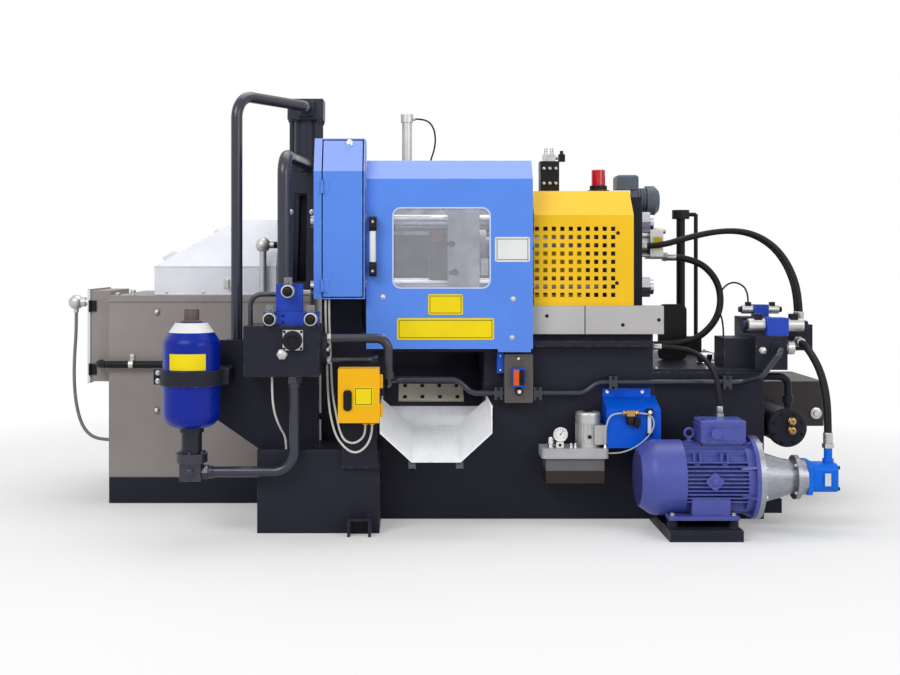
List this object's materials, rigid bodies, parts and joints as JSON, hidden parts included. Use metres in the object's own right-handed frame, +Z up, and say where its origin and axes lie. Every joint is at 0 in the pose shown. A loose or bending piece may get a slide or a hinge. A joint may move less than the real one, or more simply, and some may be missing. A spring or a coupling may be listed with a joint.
{
  "type": "die casting machine",
  "caption": "Hot chamber die casting machine with furnace, injection unit, guarded clamp unit, hydraulic tank and pump motor on a steel base.",
  "frame": {"origin": "on the underside of the machine base at floor level, on the clamp axis's vertical plane, below the die space", "axes": "+X along the machine from the furnace to the pump, +Y from the operator's side to the far side, +Z up"},
  "size_m": [3.135, 1.5069, 1.657],
  "materials": {
    "anthracite": "satin",
    "guard_blue": "satin",
    "guard_yellow": "satin",
    "sill_grey": "satin",
    "furnace_grey": "satin",
    "galvanised": "matte",
    "bar_steel": "polished",
    "bottle_blue": "gloss",
    "motor_violet": "painted satin",
    "pump_blue": "painted satin",
    "valve_blue": "satin",
    "cast_aluminium": "as cast",
    "gear_grey": "satin",
    "chute_white": "satin",
    "beacon_red": "clear",
    "tank_plastic": "translucent",
    "clear_pane": "clear",
    "handle_black": "matte",
    "hose_rubber": "matte",
    "cable_grey": "matte",
    "tube_clear": "clear"
  },
  "bodies": {
    "machine": {"accumulator": "bottle_blue", "accumulator_pipe": "anthracite", "arch_hoses": "hose_rubber", "beacon": "beacon_red", "bell_housing": "cast_aluminium", "clamp_cylinder": "bar_steel", "control_box": "furnace_grey", "control_cables": "hose_rubber", "directional_valves": "valve_blue", "fixed_platen": "anthracite", "front_pillar": "anthracite", "furnace_base": "anthracite", "furnace_body": "furnace_grey", "furnace_conduit": "handle_black", "furnace_hood": "galvanised", "gear_motor": "gear_grey", "gear_pump": "pump_blue", "guard_housing": "guard_blue", "hydraulic_tank": "anthracite", "injection_cylinder": "anthracite", "injection_frame": "anthracite", "injection_manifold": "anthracite", "injection_tubes": "anthracite", "injection_valves": "valve_blue", "junction_box": "guard_yellow", "loop_hose": "hose_rubber", "lube_motor": "cast_aluminium", "lube_reservoir": "tank_plastic", "lube_tubes": "tube_clear", "machine_base": "anthracite", "motor_base": "anthracite", "oil_cooler": "anthracite", "oil_distributor": "anthracite", "parts_chute": "chute_white", "pressure_pipe": "anthracite", "pump_hose": "hose_rubber", "pump_motor": "motor_violet", "rear_cylinder": "anthracite", "rear_guard": "guard_blue", "rear_platen": "anthracite", "return_box": "furnace_grey", "return_hose": "hose_rubber", "signal_cables": "cable_grey", "sill_panels": "sill_grey", "spray_box": "pump_blue", "spray_cylinder": "cast_aluminium", "switch_box": "gear_grey", "tank_lid": "anthracite", "terminal_box": "motor_violet", "thermocouples": "cast_aluminium", "tie_bars": "bar_steel", "toggle_cover": "guard_yellow", "toggle_guard": "guard_yellow", "valve_block": "anthracite"},
    "sliding_door": {"guard_door": "guard_blue", "door_window": "clear_pane", "door_handle": "handle_black"},
    "access_door": {"housing_door": "guard_blue"},
    "junction_cover": {"junction_door": "guard_yellow"},
    "clamp_platen": {"moving_platen": "bar_steel"}
  },
  "joints": [
    {"name": "sliding_door_slide", "type": "slide", "parent": "machine", "child": "sliding_door", "axis": [1, 0, 0], "range_m": [0, 0.4]},
    {"name": "access_door_hinge", "type": "hinge", "parent": "machine", "child": "access_door", "pos_m": [-0.4675, -0.607, 1.08], "axis": [0, 0, -1], "range_deg": [0, 95]},
    {"name": "junction_cover_hinge", "type": "hinge", "parent": "machine", "child": "junction_cover", "pos_m": [-0.242, -0.8275, 0.51], "axis": [0, 0, 1], "range_deg": [0, 100]},
    {"name": "clamp_slide", "type": "slide", "parent": "machine", "child": "clamp_platen", "axis": [-1, 0, 0], "range_m": [0, 0.15]}
  ]
}
